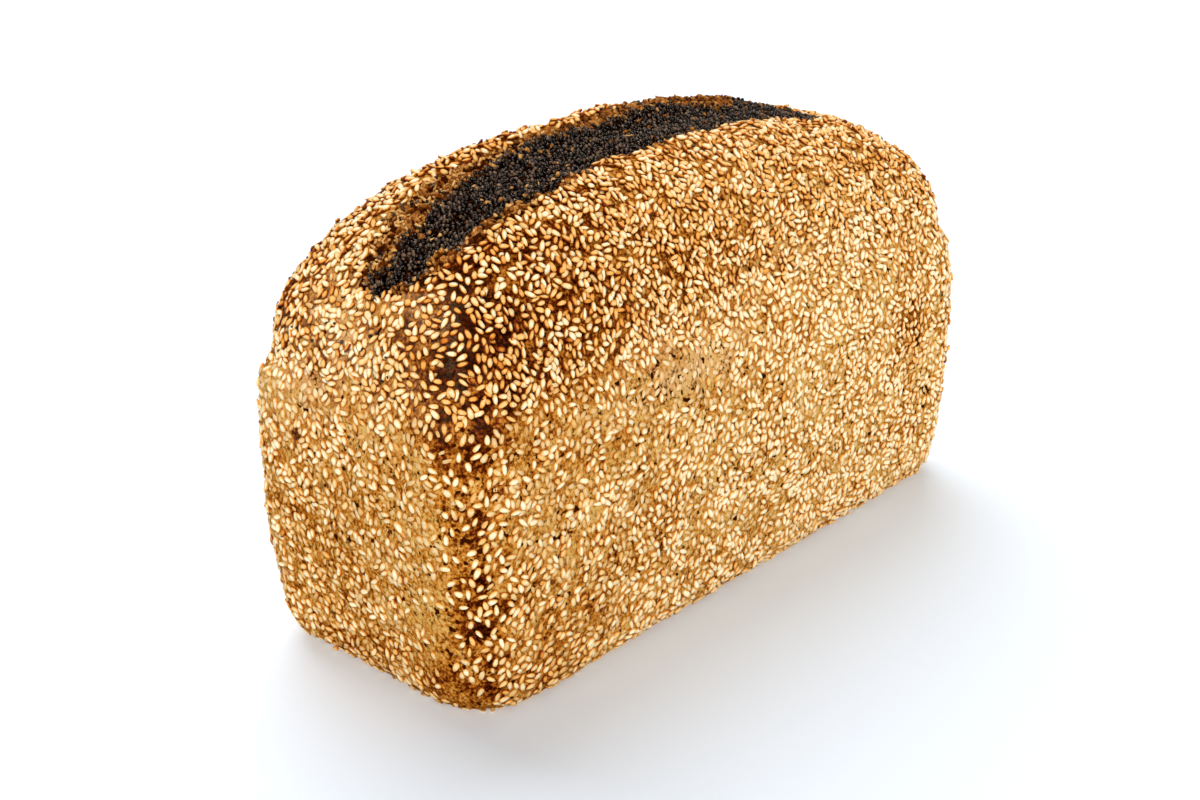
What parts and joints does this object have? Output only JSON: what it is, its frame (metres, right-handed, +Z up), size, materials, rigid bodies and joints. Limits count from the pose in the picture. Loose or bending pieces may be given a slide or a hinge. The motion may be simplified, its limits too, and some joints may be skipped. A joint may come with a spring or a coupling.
{
  "type": "seeded multigrain loaf",
  "caption": "Whole tin-baked multigrain loaf: tall bulging sides, domed top with a torn lengthwise cut, crusted all over with seeds.",
  "frame": {"origin": "middle of the base's bounding box, on the surface the loaf rests on", "axes": "+Z up, X along the loaf's length with the taller dome end towards +X, Y across it with the cut's torn lip on the +Y side"},
  "size_m": [0.229, 0.0946, 0.1329],
  "materials": {
    "seeded_crust": "matte baked crust, golden brown, covered with toasted sesame seeds and a band of poppy seeds"
  },
  "bodies": {
    "root": {"loaf": "seeded_crust"}
  },
  "joints": []
}
